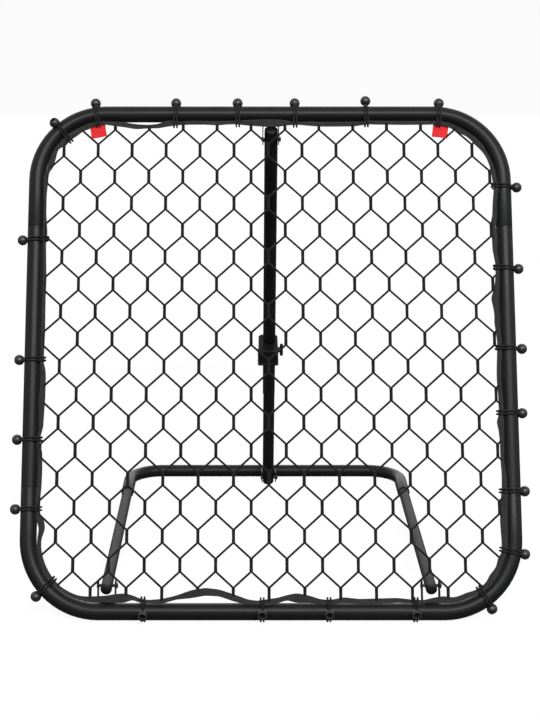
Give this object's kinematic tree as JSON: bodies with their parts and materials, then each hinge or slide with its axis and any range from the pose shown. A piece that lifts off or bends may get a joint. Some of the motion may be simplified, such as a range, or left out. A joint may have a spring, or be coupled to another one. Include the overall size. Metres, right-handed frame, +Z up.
{
  "type": "pitch back rebounder",
  "caption": "Leaning tube frame with a hexagonal net on elastic loops, a hinged ground base and a sliding rear strut; it throws a ball back.",
  "frame": {"origin": "on the ground under the middle of the part's bounding box", "axes": "+X to the right of a player facing the net, -Y towards the player, +Z up"},
  "size_m": [0.9972, 0.7969, 0.9316],
  "materials": {
    "powder_coat": "satin black powder coat on steel",
    "moulding": "fine matte black moulding",
    "fasteners": "black plated",
    "net_cord": "knotless black cord",
    "hem_webbing": "grey woven webbing",
    "tab_fabric": "plain red woven fabric",
    "elastic": "covered elastic with a glossy black ball"
  },
  "bodies": {
    "frame": {"frame_top_bend": "powder_coat", "frame_bottom_bend": "powder_coat", "frame_side_left": "powder_coat", "frame_side_right": "powder_coat", "net": "net_cord", "net_hem": "hem_webbing", "red_tab_left": "tab_fabric", "red_tab_right": "tab_fabric", "hinge_bracket_left": "powder_coat", "hinge_bracket_right": "powder_coat", "strut_bracket": "powder_coat", "hinge_bolt_left": "fasteners", "hinge_bolt_right": "fasteners", "hinge_nut_left": "fasteners", "hinge_nut_right": "fasteners", "strut_top_bolt": "fasteners", "strut_top_nut": "fasteners", "elastic_loop_01": "elastic", "elastic_loop_02": "elastic", "elastic_loop_03": "elastic", "elastic_loop_04": "elastic", "elastic_loop_05": "elastic", "elastic_loop_06": "elastic", "elastic_loop_07": "elastic", "elastic_loop_08": "elastic", "elastic_loop_09": "elastic", "elastic_loop_10": "elastic", "elastic_loop_11": "elastic", "elastic_loop_12": "elastic", "elastic_loop_13": "elastic", "elastic_loop_14": "elastic", "elastic_loop_15": "elastic", "elastic_loop_16": "elastic", "elastic_loop_17": "elastic", "elastic_loop_18": "elastic", "elastic_loop_19": "elastic", "elastic_loop_20": "elastic", "elastic_loop_21": "elastic", "elastic_loop_22": "elastic", "elastic_loop_23": "elastic"},
    "base": {"base_rear_bend": "powder_coat", "base_leg_left": "powder_coat", "base_leg_right": "powder_coat", "leg_cap_left": "moulding", "leg_cap_right": "moulding", "foot_bracket": "powder_coat"},
    "strut_upper": {"strut_upper_tube": "powder_coat", "strut_top_cap": "moulding", "strut_tail_cap": "moulding"},
    "strut_lower": {"strut_lower_tube": "powder_coat", "strut_foot_cap": "moulding", "clamp_block": "moulding", "clamp_pin": "fasteners", "strut_foot_bolt": "fasteners", "strut_foot_nut": "fasteners"},
    "knob": {"clamp_knob": "moulding"}
  },
  "joints": [
    {"name": "base_hinge", "type": "hinge", "parent": "frame", "child": "base", "pos_m": [0, -0.33429, 0.0594], "axis": [1, 0, 0], "range_deg": [-8, 10]},
    {"name": "strut_hinge", "type": "hinge", "parent": "frame", "child": "strut_upper", "pos_m": [0, 0.05235, 0.85213], "axis": [1, 0, 0], "range_deg": [-2.6, 3.2]},
    {"name": "strut_slide", "type": "slide", "parent": "strut_upper", "child": "strut_lower", "axis": [0, 0.3521, -0.936], "range_m": [-0.11, 0.088]},
    {"name": "knob_turn", "type": "hinge", "parent": "strut_lower", "child": "knob", "pos_m": [0.0215, 0.24054, 0.35186], "axis": [1, 0, 0], "range_deg": [0, 360]}
  ],
  "couplings": [
    {"joint": "strut_hinge", "follows": "base_hinge", "ratio": 0.312},
    {"joint": "strut_slide", "follows": "base_hinge", "m_per_rad": -0.6265}
  ]
}
